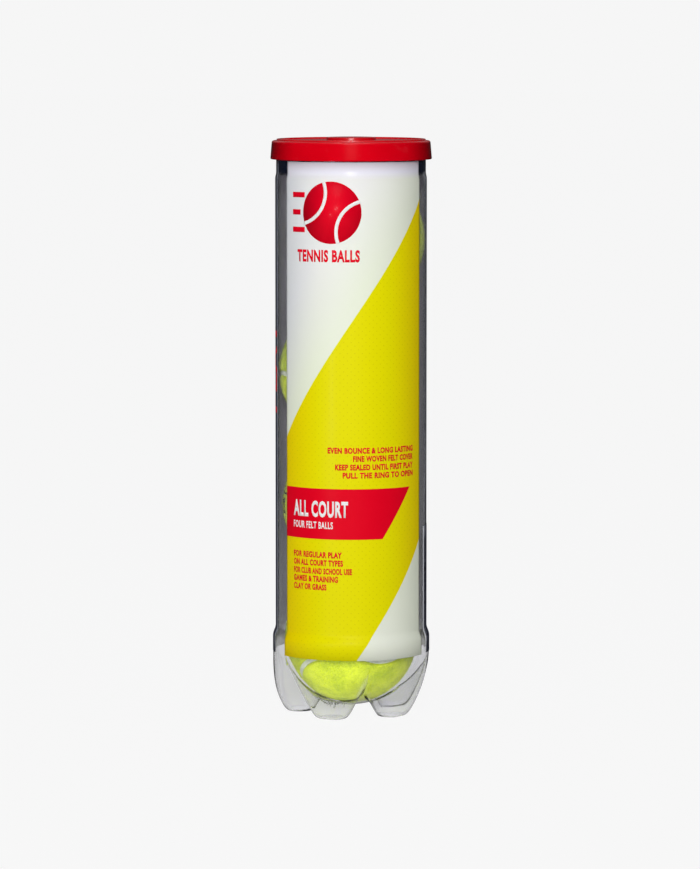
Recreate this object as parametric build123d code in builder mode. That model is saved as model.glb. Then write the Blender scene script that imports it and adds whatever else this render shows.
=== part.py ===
from build123d import *
from math import asin, cos, degrees, radians, sin, sqrt, tan
import os

# Tennis ball can: a clear blown tube with a five-footed base, a double-seamed metal
# end with a pull-off panel, a snap overcap, two film labels and four balls.
# Millimetres, +Z up, floor under the feet at Z = 0, front towards -Y.
# Angles round the can are counted from the front, positive towards +X.

# ---- balls
ball_diameter = 66.0
felt_thickness = 2.8
core_wall = 3.4
ball_seam_width = 2.6
ball_seam_depth = 1.0
print_thickness = 0.05
numeral_height = 8.0
numeral_stroke = 1.7
numeral_foot = 4.0
print_oval = (17.0, 9.0)
print_oval_line = 0.9
rest_gap = 0.3               # between two balls, and between a ball and the tube
ball_lean = (0.0, -0.29, -0.81, 1.0)   # sideways place, as a share of the play
ball_frames = (              # each ball's own x and z directions in the can
    ((-0.100, -0.580, -0.807), (-0.886, -0.319, 0.337)),
    ((0.240, -0.970, 0.000), (-0.970, -0.240, 0.000)),
    ((-0.667, -0.226, -0.710), (-0.668, -0.226, 0.699)),
    ((0.800, 0.500, 0.330), (-0.560, 0.830, 0.100)),
)

# ---- tube
side_play = 3.8              # bore radius less ball radius
tube_wall = 0.7
neck_step = 0.5
neck_wall = 0.8
neck_length = 13.8
shoulder_drop = 3.0
head_room = 13.7             # top ball to the top of the neck flange
flange_thickness = 0.5
flange_hook = 1.2
hook_wall = 0.35
hip_step = 1.4               # the base stands out this far from the body
hip_bottom = 26.0
hip_straight = 12.0
hip_blend = 5.5
heel_inset = 8.5             # how far the outline curves in down to the floor

# ---- feet
foot_count = 5
foot_turn = -21.2
foot_inset = 11.9            # widest part to the middle of a foot pad
foot_pad_radius = 8.0
foot_slope = 28.6            # half angle of a foot's cone
foot_edge = 2.2
cup_step = 0.5               # cup radius less body radius
cup_rise = 3.5               # floor to the lowest point of the cup

# ---- metal end
metal = 0.25
seam_height = 3.0
seam_reach = 1.05
seam_slack = 0.1
seam_edge = 0.12
hook_slack = 0.05
hook_length = 1.6
gasket_thickness = 0.25
chuck_depth = 8.5
panel_rise = 1.2             # groove bottom to the underside of the panel
mouth_play = 0.75            # score lip radius less ball radius
score_lip = 0.35
score_gap = 0.3
panel_rim_width = 2.3
panel_rim_rise = 0.5
well_radius = 7.4
well_depth = 0.5

# ---- pull tab
rivet_inset = 8.4            # panel edge to the rivet
rivet_radius = 2.2
rivet_shank_radius = 1.4
rivet_head = 0.5
tab_thickness = 1.0
tab_width = 21.0
tab_nose_width = 13.0
tab_ring_hole = 8.0
tab_edge = 0.35
tab_float = 0.1
tab_tail = 1.5
tongue_thickness = 0.3
tongue_radius = 2.8
tongue_clearance = 0.6
fold_reach = 4.0             # rivet to the fold at the nose
fold_gap = 0.3

# ---- overcap
cap_wall = 1.0
cap_plate = 1.0
cap_skirt = 9.2
cap_flare = 1.2
cap_clearance = 0.3
cap_fit = 0.05               # between the snap bead and the seam
cap_bead_height = 0.8
cap_headroom = 0.4
cap_ring_inset = 1.9
cap_ring_width = 1.6
cap_ring_height = 0.8
cap_boss_radius = 12.2
cap_boss_height = 1.6
cap_corner = 0.6
cap_fine_corner = 0.3
pick_tolerance = 0.01        # for choosing corners by their place

# ---- labels
label_thickness = 0.12
label_foot = 4.7             # above the bottom of the hip
label_head = 9.3             # below the top of the neck flange
front_from = -57.4
front_to = 63.3
rear_from = 96.0
rear_to = 285.0
patch_from = 71.6
patch_height = 63.3

# ---- worked out from the sizes above
ball_radius = ball_diameter / 2
core_radius = ball_radius - felt_thickness
seam_half_angle = degrees(asin(ball_seam_width / 2 / ball_radius))
bore_radius = ball_radius + side_play
body_radius = bore_radius + tube_wall
hip_radius = body_radius + hip_step
neck_radius = body_radius - neck_step
neck_bore = neck_radius - neck_wall
hip_top = hip_bottom + hip_straight
cup_radius = body_radius + cup_step
cup_centre = cup_rise + cup_radius
foot_reach = hip_radius - foot_inset

ball_centres = []
for lean in ball_lean:
    ball_x = lean * (side_play - rest_gap)
    if ball_centres:
        last_x, last_z = ball_centres[-1]
        ball_z = last_z + sqrt((ball_diameter + rest_gap) ** 2 - (ball_x - last_x) ** 2)
    else:
        ball_z = cup_rise + tube_wall + rest_gap + ball_radius
    ball_centres.append((ball_x, ball_z))

tube_height = ball_centres[-1][1] + ball_radius + head_room
neck_bottom = tube_height - neck_length
label_bottom = hip_bottom + label_foot
label_top = tube_height - label_head

seam_top = tube_height + gasket_thickness + metal
seam_bottom = seam_top - seam_height
seam_radius = neck_radius + seam_reach
flange_radius = seam_radius - metal - seam_slack
groove_bottom = seam_top - chuck_depth
lip_radius = ball_radius + mouth_play
groove_inner = lip_radius + score_lip + metal
panel_z = groove_bottom + panel_rise
panel_top = panel_z + metal
panel_radius = lip_radius - score_gap

rivet_y = rivet_inset - panel_radius
tab_z = panel_top + tab_float
fold_y = rivet_y - fold_reach
fold_z = tab_z + tab_thickness / 2
ring_y = -(tab_tail + tab_width / 2)
slot_radius = tongue_radius + tongue_clearance

cap_inner = seam_radius + cap_clearance
cap_under = seam_top + cap_headroom
cap_top = cap_under + cap_plate
cap_bottom = cap_top - cap_skirt
cap_outer_top = cap_inner + cap_wall - cap_flare / 2
cap_outer_bottom = cap_inner + cap_wall + cap_flare / 2


def save(piece, name):
    piece.part.label = name
    export_step(piece.part, f"parts/{name}.step")


def radial_plane(angle):
    """Upright plane through the axis, its x pointing out at this angle."""
    turn = radians(angle)
    return Plane((0, 0, 0), x_dir=(sin(turn), -cos(turn), 0), z_dir=(-cos(turn), -sin(turn), 0))


def band(r_from, r_to, z_from, z_to, mode=Mode.ADD):
    """Rectangle in a radius-height sketch."""
    with Locations(((r_from + r_to) / 2, (z_from + z_to) / 2)):
        Rectangle(r_to - r_from, z_to - z_from, mode=mode)


# ------------------------------------------------------------------------ tube
def wall_line(inset, neck_inset, start_z, end_z):
    """Side outline from the hip up to the neck, moved in from the outer face."""
    hip_end = (hip_radius - inset, hip_top)
    body_start = (body_radius - inset, hip_top + hip_blend)
    body_end = (body_radius - inset, neck_bottom - shoulder_drop)
    neck_start = (neck_radius - neck_inset, neck_bottom)
    Line((hip_radius - inset, start_z), hip_end)
    Spline(hip_end, body_start, tangents=((0, 1), (0, 1)))
    Line(body_start, body_end)
    Spline(body_end, neck_start, tangents=((0, 1), (0, 1)))
    Line(neck_start, (neck_radius - neck_inset, end_z))


def turned_form(wall, neck_inset, top):
    """Body of revolution inside the outline, its floor raised by the wall."""
    with BuildPart() as form:
        with BuildSketch(Plane.XZ):
            with BuildLine():
                EllipticalCenterArc(
                    (hip_radius - heel_inset, hip_bottom),
                    heel_inset - wall,
                    hip_bottom - wall,
                    start_angle=270,
                    arc_size=90,
                )
                wall_line(wall, neck_inset, hip_bottom, top)
                Polyline(
                    (neck_radius - neck_inset, top),
                    (0, top),
                    (0, wall),
                    (hip_radius - heel_inset, wall),
                )
            make_face()
        revolve(axis=Axis.Z)
    return form.part


def base_gaps(wall):
    """What lies between the feet and under the cup, as a solid to cut away."""
    slope = tan(radians(foot_slope))
    set_in = wall / cos(radians(foot_slope))
    half_step = radians(180 / foot_count)
    rim_x = hip_radius - foot_reach * cos(half_step)
    rim_y = foot_reach * sin(half_step)
    meet_z = (sqrt(rim_x**2 + rim_y**2) - foot_pad_radius) / slope
    block_top = meet_z + foot_edge
    with BuildPart() as foot:
        with BuildSketch(Plane.XZ):
            with BuildLine():
                Polyline(
                    (0, wall),
                    (foot_pad_radius - set_in + wall * slope, wall),
                    (foot_pad_radius - set_in + cup_centre * slope, cup_centre),
                    (0, cup_centre),
                    close=True,
                )
            face = make_face()
            pad_corner = face.vertices().group_by(Axis.Y)[0].sort_by(Axis.X)[-1]
            fillet(pad_corner, foot_edge - wall)
        revolve(axis=Axis.Z)
    with BuildPart() as gaps:
        Cylinder(hip_radius + foot_edge, block_top, align=(Align.CENTER, Align.CENTER, Align.MIN))
        with Locations((0, 0, cup_centre)):
            Sphere(cup_radius - wall, mode=Mode.SUBTRACT)
        with PolarLocations(foot_reach, foot_count, start_angle=foot_turn - 90):
            add(foot.part, mode=Mode.SUBTRACT)
    return gaps.part


with BuildPart() as tube_void:
    add(turned_form(tube_wall, neck_wall, tube_height))
    add(base_gaps(tube_wall), mode=Mode.SUBTRACT)

with BuildPart() as tube:
    add(turned_form(0, 0, tube_height))
    add(base_gaps(0), mode=Mode.SUBTRACT)
    with BuildSketch(Plane.XZ):
        band(neck_bore, flange_radius, tube_height - flange_thickness, tube_height)
        band(
            flange_radius - hook_wall,
            flange_radius,
            tube_height - flange_thickness - flange_hook,
            tube_height,
        )
    revolve(axis=Axis.Z)
    add(tube_void.part, mode=Mode.SUBTRACT)


# ---------------------------------------------------------------------- labels
def label_sheet(angle_from, angle_to, z_from, z_to):
    """Film on the tube's outer face, between two angles and two heights."""
    with BuildPart() as sheet:
        with BuildSketch(radial_plane(angle_from)):
            with BuildLine():
                wall_line(0, 0, z_from, label_top)
                wall_line(-label_thickness, -label_thickness, z_from, label_top)
                Line((hip_radius, z_from), (hip_radius + label_thickness, z_from))
                Line((neck_radius, label_top), (neck_radius + label_thickness, label_top))
            make_face()
        revolve(axis=Axis.Z, revolution_arc=angle_to - angle_from)
        if z_to < label_top:
            with Locations((0, 0, z_to)):
                Cylinder(
                    hip_radius * 2,
                    tube_height,
                    align=(Align.CENTER, Align.CENTER, Align.MIN),
                    mode=Mode.SUBTRACT,
                )
    return sheet.part


with BuildPart() as front_label:
    add(label_sheet(front_from, front_to, label_bottom, label_top))

with BuildPart() as rear_label:
    add(label_sheet(rear_from, rear_to, label_bottom, label_top))
    add(label_sheet(patch_from, rear_from, label_bottom, label_bottom + patch_height))


# ------------------------------------------------------------------- metal end
with BuildPart() as seam_ring:
    with BuildSketch(Plane.XZ) as ring_section:
        band(neck_bore - metal, neck_bore, groove_bottom, seam_top)
        band(groove_inner - metal, neck_bore, groove_bottom, groove_bottom + metal)
        band(groove_inner - metal, groove_inner, groove_bottom, panel_top)
        band(lip_radius, groove_inner, panel_z, panel_top)
        band(neck_bore - metal, seam_radius, seam_top - metal, seam_top)
        band(seam_radius - metal, seam_radius, seam_bottom, seam_top)
        band(neck_radius + hook_slack, seam_radius, seam_bottom, seam_bottom + metal)
        band(
            neck_radius + hook_slack,
            neck_radius + hook_slack + metal,
            seam_bottom,
            seam_bottom + hook_length,
        )
        fillet(ring_section.vertices().group_by(Axis.Y)[-1], seam_edge)
        fillet(ring_section.vertices().group_by(Axis.Y)[0], seam_edge)
    revolve(axis=Axis.Z)

with BuildPart() as seam_gasket:
    with BuildSketch(Plane.XZ):
        band(neck_bore, flange_radius, tube_height, tube_height + gasket_thickness)
    revolve(axis=Axis.Z)

with BuildPart() as end_panel:
    with BuildSketch(Plane.XZ):
        rim_inner = panel_radius - panel_rim_width
        band(0, rim_inner, panel_z, panel_top)
        band(rim_inner - metal, rim_inner, panel_z, panel_top + panel_rim_rise)
        band(rim_inner - metal, panel_radius, panel_z + panel_rim_rise, panel_top + panel_rim_rise)
    revolve(axis=Axis.Z)
    with BuildSketch(Plane.XY.offset(panel_z - well_depth)):
        with Locations((0, ring_y)):
            Circle(well_radius)
    extrude(amount=well_depth + metal)
    with BuildSketch(Plane.XY.offset(panel_z - well_depth + metal)):
        with Locations((0, ring_y)):
            Circle(well_radius - metal)
    extrude(amount=well_depth, mode=Mode.SUBTRACT)
    with BuildSketch(Plane.XY.offset(panel_top)):
        with Locations((0, rivet_y)):
            Circle(rivet_shank_radius)
    extrude(amount=tab_float + tongue_thickness)
    with BuildSketch(Plane.XY.offset(tab_z + tongue_thickness)):
        with Locations((0, rivet_y)):
            Circle(rivet_radius)
    extrude(amount=rivet_head)
    fillet(end_panel.faces().sort_by(Axis.Z)[-1].edges(), rivet_head / 2)

with BuildPart() as tab_tongue:
    with BuildSketch(Plane.XY.offset(tab_z)):
        tongue_end = fold_y + tab_thickness / 2 + fold_gap
        with Locations((0, rivet_y)):
            Circle(tongue_radius)
        with Locations((0, (rivet_y + tongue_end) / 2)):
            Rectangle(2 * tongue_radius, rivet_y - tongue_end)
        with Locations((0, rivet_y)):
            Circle(rivet_shank_radius, mode=Mode.SUBTRACT)
    extrude(amount=tongue_thickness)

with BuildPart() as pull_tab:
    with BuildSketch(Plane.XY.offset(tab_z)):
        nose_corner = tab_thickness
        with BuildLine():
            CenterArc((0, ring_y), tab_width / 2, 0, 360)
            for side in (-1, 1):
                corner_x = side * (tab_nose_width / 2 - nose_corner)
                CenterArc((corner_x, fold_y + nose_corner), nose_corner, 0, 360)
        make_hull()
        with Locations((0, ring_y)):
            Circle(tab_ring_hole, mode=Mode.SUBTRACT)
    extrude(amount=tab_thickness)
    fillet(pull_tab.edges().filter_by(Plane.XY), tab_edge)
    with BuildSketch(Plane.XY.offset(tab_z)):
        slot_end = fold_y + tab_thickness / 2
        with Locations((0, rivet_y)):
            Circle(slot_radius)
        with Locations((0, (rivet_y + slot_end) / 2)):
            Rectangle(2 * slot_radius, rivet_y - slot_end)
    extrude(amount=tab_thickness, mode=Mode.SUBTRACT)
    with BuildSketch(Plane.YZ.offset(-tab_nose_width / 2)):
        with Locations((fold_y, fold_z)):
            Circle(tab_thickness / 2)
    extrude(amount=tab_nose_width)


# --------------------------------------------------------------------- overcap
with BuildPart() as overcap:
    with BuildSketch(Plane.XZ) as cap_section:
        ring_outer = cap_outer_top - cap_ring_inset
        with BuildLine():
            Polyline(
                (0, cap_under + cap_boss_height),
                (0, cap_top + cap_boss_height),
                (cap_boss_radius, cap_top + cap_boss_height),
                (cap_boss_radius, cap_top),
                (ring_outer - cap_ring_width, cap_top),
                (ring_outer - cap_ring_width, cap_top + cap_ring_height),
                (ring_outer, cap_top + cap_ring_height),
                (ring_outer, cap_top),
                (cap_outer_top, cap_top),
                (cap_outer_bottom, cap_bottom),
                (cap_inner, cap_bottom),
                (cap_inner, cap_under),
                (cap_boss_radius - cap_plate, cap_under),
                (cap_boss_radius - cap_plate, cap_under + cap_boss_height),
                close=True,
            )
        make_face()
        corners = cap_section.vertices()
        boss_edge = corners.group_by(Axis.Y)[-1].sort_by(Axis.X)[-1]
        ring_edges = corners.filter_by(lambda v: abs(v.Y - cap_top - cap_ring_height) < pick_tolerance)
        skirt_edge = corners.filter_by(lambda v: abs(v.X - cap_outer_top) < pick_tolerance)
        fillet([boss_edge, *ring_edges], cap_fine_corner)
        fillet(skirt_edge, cap_corner)
        bead_radius = seam_radius + cap_fit
        bead_z = seam_bottom - cap_bead_height
        with BuildLine():
            ThreePointArc(
                (cap_inner, bead_z + cap_bead_height / 2),
                (bead_radius, bead_z),
                (cap_inner, bead_z - cap_bead_height / 2),
            )
            Line((cap_inner, bead_z - cap_bead_height / 2), (cap_inner, bead_z + cap_bead_height / 2))
        make_face()
    revolve(axis=Axis.Z)


# ----------------------------------------------------------------------- balls
swap = Axis((0, 0, 0), (1, 1, 0))   # half a turn about this lays one half of a ball on the other


def double_cone(plane, axis, half_angle):
    """Two cones, point to point at the ball's centre."""
    reach = ball_diameter
    with BuildPart() as cones:
        with BuildSketch(plane):
            for side in (-1, 1):
                with BuildLine():
                    Polyline(
                        (0, 0),
                        (side * reach, 0),
                        (side * reach, reach * tan(radians(half_angle))),
                        close=True,
                    )
                make_face()
        revolve(axis=axis)
    return cones.part


def sector(upper, half_angle, mode):
    """Part of one half of space, inside or outside that half's seam cones."""
    wide = 3 * ball_radius
    level = Align.MIN if upper else Align.MAX
    cone_place = (Plane.XZ, Axis.X) if upper else (Plane.YZ, Axis.Y)
    with BuildPart() as piece:
        Box(wide, wide, wide / 2, align=(Align.CENTER, Align.CENTER, level))
        add(double_cone(*cone_place, half_angle), mode=mode)
    return piece.part


wide_angle = 45 + seam_half_angle
narrow_angle = 45 - seam_half_angle

with BuildPart() as core_half:
    Sphere(core_radius)
    Sphere(core_radius - core_wall, mode=Mode.SUBTRACT)
    split(bisect_by=Plane.XY)

with BuildPart() as felt_panel:
    Sphere(ball_radius)
    Sphere(core_radius, mode=Mode.SUBTRACT)
    add(sector(True, wide_angle, Mode.INTERSECT), mode=Mode.SUBTRACT)
    add(sector(False, narrow_angle, Mode.SUBTRACT), mode=Mode.SUBTRACT)

with BuildPart() as ball_seam:
    Sphere(ball_radius - ball_seam_depth)
    Sphere(core_radius, mode=Mode.SUBTRACT)
    for upper in (True, False):
        add(sector(upper, wide_angle, Mode.SUBTRACT), mode=Mode.SUBTRACT)
        add(sector(upper, narrow_angle, Mode.INTERSECT), mode=Mode.SUBTRACT)

with BuildPart() as ball_print:
    with BuildSketch():
        Rectangle(numeral_stroke, numeral_height)
        with Locations((-numeral_stroke, numeral_height / 2 - numeral_stroke)):
            Rectangle(numeral_stroke, numeral_stroke)
        with Locations((0, (numeral_stroke - numeral_height) / 2)):
            Rectangle(numeral_foot, numeral_stroke)
        with Locations((0, (numeral_height + print_oval[1]) / 2 + numeral_stroke)):
            Ellipse(print_oval[0] / 2, print_oval[1] / 2)
            Ellipse(
                print_oval[0] / 2 - print_oval_line,
                print_oval[1] / 2 - print_oval_line,
                mode=Mode.SUBTRACT,
            )
    extrude(amount=ball_diameter)
    Sphere(ball_radius + print_thickness, mode=Mode.INTERSECT)
    Sphere(ball_radius, mode=Mode.SUBTRACT)

ball_pieces = {
    "core_upper": core_half.part,
    "core_lower": core_half.part.rotate(swap, 180),
    "felt_a": felt_panel.part,
    "felt_b": felt_panel.part.rotate(swap, 180),
    "seam": ball_seam.part,
    "print": ball_print.part,
}

os.makedirs("parts", exist_ok=True)

for number, ((ball_x, ball_z), (x_dir, z_dir)) in enumerate(zip(ball_centres, ball_frames), 1):
    ball_plane = Plane((ball_x, 0, ball_z), x_dir=x_dir, z_dir=z_dir)
    for piece_name, shape in ball_pieces.items():
        with BuildPart(ball_plane) as ball_piece:
            add(shape)
        save(ball_piece, f"ball_{number}_{piece_name}")

save(tube, "tube")
save(front_label, "front_label")
save(rear_label, "rear_label")
save(seam_ring, "seam_ring")
save(seam_gasket, "seam_gasket")
save(end_panel, "end_panel")
save(tab_tongue, "tab_tongue")
save(pull_tab, "pull_tab")
save(overcap, "overcap")
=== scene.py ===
import math

import bmesh
import bpy
from mathutils import Matrix, Vector, noise


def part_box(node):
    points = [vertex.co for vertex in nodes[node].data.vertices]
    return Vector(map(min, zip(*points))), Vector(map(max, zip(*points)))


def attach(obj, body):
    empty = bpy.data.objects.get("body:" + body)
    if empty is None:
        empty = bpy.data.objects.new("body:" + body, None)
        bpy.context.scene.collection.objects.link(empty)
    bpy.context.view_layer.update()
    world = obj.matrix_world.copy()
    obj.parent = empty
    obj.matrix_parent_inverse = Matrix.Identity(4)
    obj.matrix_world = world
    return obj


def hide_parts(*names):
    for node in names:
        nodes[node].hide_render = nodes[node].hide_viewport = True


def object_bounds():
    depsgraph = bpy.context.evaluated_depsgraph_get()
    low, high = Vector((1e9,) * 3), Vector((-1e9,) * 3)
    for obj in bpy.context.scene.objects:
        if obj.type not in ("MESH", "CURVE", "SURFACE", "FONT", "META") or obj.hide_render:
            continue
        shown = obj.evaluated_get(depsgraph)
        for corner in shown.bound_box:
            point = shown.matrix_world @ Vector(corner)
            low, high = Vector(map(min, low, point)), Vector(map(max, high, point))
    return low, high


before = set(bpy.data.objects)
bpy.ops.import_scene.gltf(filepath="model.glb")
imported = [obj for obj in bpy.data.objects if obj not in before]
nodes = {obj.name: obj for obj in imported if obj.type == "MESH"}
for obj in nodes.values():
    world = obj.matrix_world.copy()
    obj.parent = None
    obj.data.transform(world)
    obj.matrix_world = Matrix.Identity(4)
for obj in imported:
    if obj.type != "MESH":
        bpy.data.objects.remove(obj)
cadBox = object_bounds()
mm = 0.001   # the settings below are in millimetres, the scene is in metres


def finishMesh(name, bm, sharpAngle=35, recalc=True):
    if recalc:
        bmesh.ops.recalc_face_normals(bm, faces=bm.faces)
    mesh = bpy.data.meshes.new(name)
    bm.to_mesh(mesh)
    bm.free()
    mesh.shade_smooth()
    mesh.set_sharp_from_angle(angle=math.radians(sharpAngle))
    piece = bpy.data.objects.new(name, mesh)
    bpy.context.scene.collection.objects.link(piece)
    return piece


# each corner is (radius, height, rounding) in mm; a rounded corner becomes an arc
def roundedOutline(corners, arcSteps=5):
    points = []
    for i, (r, z, rounding) in enumerate(corners):
        here = Vector((r, z))
        if rounding == 0:
            points.append(here)
            continue
        before = (Vector(corners[i - 1][:2]) - here).normalized()
        after = (Vector(corners[(i + 1) % len(corners)][:2]) - here).normalized()
        half = before.angle(after) / 2
        centre = here + (before + after).normalized() * rounding / math.sin(half)
        start = here + before * rounding / math.tan(half) - centre
        end = here + after * rounding / math.tan(half) - centre
        for step in range(arcSteps + 1):
            share = step / arcSteps
            arm = start.lerp(end, share)
            points.append(centre + arm.normalized() * rounding)
    return points


def spinOutline(points, steps=192, closed=True):
    bm = bmesh.new()
    rim = [bm.verts.new((p[0] * mm, 0, p[1] * mm)) for p in points]
    for a, b in zip(rim, rim[1:]):
        bm.edges.new((a, b))
    if closed:
        bm.edges.new((rim[-1], rim[0]))
    bmesh.ops.spin(bm, geom=bm.verts[:] + bm.edges[:], cent=(0, 0, 0), axis=(0, 0, 1), dvec=(0, 0, 0),
                   angle=math.tau, steps=steps, use_merge=True, use_duplicate=False)
    bmesh.ops.remove_doubles(bm, verts=bm.verts, dist=0.002 * mm)
    return bm


def smoothStep(low, high, value):
    t = min(max((value - low) / (high - low), 0), 1)
    return t * t * (3 - 2 * t)


def ridesOn(piece, body, slotName, *replaced):
    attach(piece, body)
    if replaced:
        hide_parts(*replaced)


def thicken(piece, name, thickness, offset):
    solid = piece.modifiers.new(name, "SOLIDIFY")
    solid.thickness = thickness * mm
    solid.offset = offset
    return solid


def spun(bm, geom, centre, axis, angle, steps):
    bmesh.ops.spin(bm, geom=geom, cent=centre, axis=axis, dvec=(0, 0, 0), angle=angle, steps=steps,
                   use_merge=False, use_duplicate=False)


def evaluatedMesh(source):
    bpy.context.view_layer.update()
    mesh = bpy.data.meshes.new_from_object(source.evaluated_get(bpy.context.evaluated_depsgraph_get()))
    bm = bmesh.new()
    bm.from_mesh(mesh)
    bpy.data.meshes.remove(mesh)
    return bm


def newMaterial(name):
    material = bpy.data.materials.new(name)
    material.use_nodes = True
    return material, material.node_tree, material.node_tree.nodes["Principled BSDF"]


def addNode(tree, kind, inputs=None, **settings):
    node = tree.nodes.new(kind)
    for key, value in settings.items():
        setattr(node, key, value)
    setAll(tree, node, inputs or {})
    return node


def setInput(tree, node, key, value):
    if isinstance(value, bpy.types.NodeSocket):
        tree.links.new(value, node.inputs[key])
    else:
        node.inputs[key].default_value = value


def setAll(tree, shader, values):
    for key, value in values.items():
        setInput(tree, shader, key, value)


def calc(tree, operation, *values):
    node = addNode(tree, "ShaderNodeMath", operation=operation)
    for i, value in enumerate(values):
        setInput(tree, node, i, value)
    return node.outputs[0]


def times(tree, a, b):
    return calc(tree, "MULTIPLY", a, b)


def plus(tree, a, b):
    return calc(tree, "ADD", a, b)


def minus(tree, a, b):
    return calc(tree, "SUBTRACT", a, b)


def larger(tree, a, b):
    return calc(tree, "MAXIMUM", a, b)


def mapped(tree, value, fromLow, fromHigh, toLow=0.0, toHigh=1.0):
    limits = {"From Min": fromLow, "From Max": fromHigh, "To Min": toLow, "To Max": toHigh}
    return addNode(tree, "ShaderNodeMapRange", {"Value": value, **limits}).outputs[0]


def mixed(tree, share, a, b):
    return addNode(tree, "ShaderNodeMix", {0: share, 6: a, 7: b}, data_type="RGBA").outputs[2]


def noiseOf(tree, vector, scale, detail=3.0, roughness=0.5):
    settings = {"Vector": vector, "Scale": scale, "Detail": detail, "Roughness": roughness}
    return addNode(tree, "ShaderNodeTexNoise", settings).outputs[0]


def objectCoords(tree, scale=(1, 1, 1)):
    coords = addNode(tree, "ShaderNodeTexCoord")
    return addNode(tree, "ShaderNodeMapping", {"Vector": coords.outputs["Object"], "Scale": scale}).outputs[0]


def bumpOf(tree, height, strength, distance):
    settings = {"Height": height, "Strength": strength, "Distance": distance}
    return addNode(tree, "ShaderNodeBump", settings).outputs[0]


def partsOf(tree, vector):
    return addNode(tree, "ShaderNodeSeparateXYZ", {"Vector": vector}).outputs


# 0 where a surface faces the viewer, 1 where it is seen along its skin
def facingOf(tree):
    return addNode(tree, "ShaderNodeLayerWeight", {"Blend": 0.5}).outputs["Facing"]


def mixShaders(tree, share, a, b):
    return addNode(tree, "ShaderNodeMixShader", {0: share, 1: a.outputs[0], 2: b.outputs[0]})


# handling wear shared by the moulded, printed and metal surfaces: fine hair scratches and soft smudges
def buildHandlingGroup():
    group = bpy.data.node_groups.new("handlingWear", "ShaderNodeTree")
    face = group.interface
    face.new_socket("Vector", in_out="INPUT", socket_type="NodeSocketVector")
    for name, value in (("Scratch Scale", 400.0), ("Smudge Scale", 30.0)):
        face.new_socket(name, in_out="INPUT", socket_type="NodeSocketFloat").default_value = value
    for name in ("Scratches", "Smudges"):
        face.new_socket(name, in_out="OUTPUT", socket_type="NodeSocketFloat")
    start = addNode(group, "NodeGroupInput")
    stretch = {"Vector": start.outputs["Vector"], "Rotation": (0.4, 0.9, 0.3), "Scale": (1, 0.04, 1)}
    stretched = addNode(group, "ShaderNodeMapping", stretch).outputs[0]
    fine = noiseOf(group, stretched, start.outputs["Scratch Scale"], 2.0)
    soft = noiseOf(group, start.outputs["Vector"], start.outputs["Smudge Scale"], 4.0, 0.6)
    end = addNode(group, "NodeGroupOutput")
    group.links.new(mapped(group, fine, 0.62, 0.72), end.inputs["Scratches"])
    group.links.new(mapped(group, soft, 0.35, 0.7), end.inputs["Smudges"])
    return group


handlingGroup = buildHandlingGroup()


def handlingWear(tree, vector, scratchScale=400.0, smudgeScale=30.0):
    wear = addNode(tree, "ShaderNodeGroup", node_tree=handlingGroup)
    setAll(tree, wear, {"Vector": vector, "Scratch Scale": scratchScale, "Smudge Scale": smudgeScale})
    return wear.outputs["Scratches"], wear.outputs["Smudges"]


cameraSettings = {
    "distance": 2.0166,
    "height": 0.3396,
    "tiltDown": 4.475,
    "lens": 168.7,
    "shift": (-0.0013, -0.1),
}

cameraData = bpy.data.cameras.new("camera")
cameraData.lens = cameraSettings["lens"]
cameraData.sensor_width = 36
cameraData.shift_x, cameraData.shift_y = cameraSettings["shift"]
camera = bpy.data.objects.new("camera", cameraData)
camera.location = (0, -cameraSettings["distance"], cameraSettings["height"])
camera.rotation_euler = (math.radians(90 - cameraSettings["tiltDown"]), 0, 0)
bpy.context.scene.collection.objects.link(camera)
bpy.context.scene.camera = camera
bpy.context.scene.view_settings.view_transform = "Standard"

studio = {
    "backdrop": 0.922,      # linear value of the plain pale surround
    "fill": 0.38,           # room light from the front and above
    "sideFill": 0.05,       # dark flags left and right
    "backShare": 0.6,       # how much of the fill comes from behind the can
    "mirrorShare": 0.35,    # how much of the fill shows in reflections
    "mirrorOverhead": 1.8,  # the same for reflections of the ceiling
    "through": 0.66,        # what the clear plastic shows behind itself
    "floorThrough": 0.56,   # and how much of the floor
    "floorMirrored": 0.04,  # the floor in reflections
    "floorSeen": 0.97,      # how far the backdrop hides the lit floor
    "floorGlow": 1.022,
    "floorSize": 20,
}
middle = Vector((0, 0, cadBox[1][2] / 2))
lights = (                  # name, place, target, size, power
    ("keyLight", (0.0, -1.7, 0.62), middle, 0.42, 13.4),
    ("topLight", (0.0, -0.35, 1.1), middle, 0.5, 2.5),
    ("footLight", (-0.45, -0.8, 0.1), (0, 0, 0.03), 0.1, 1.2),
)


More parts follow.
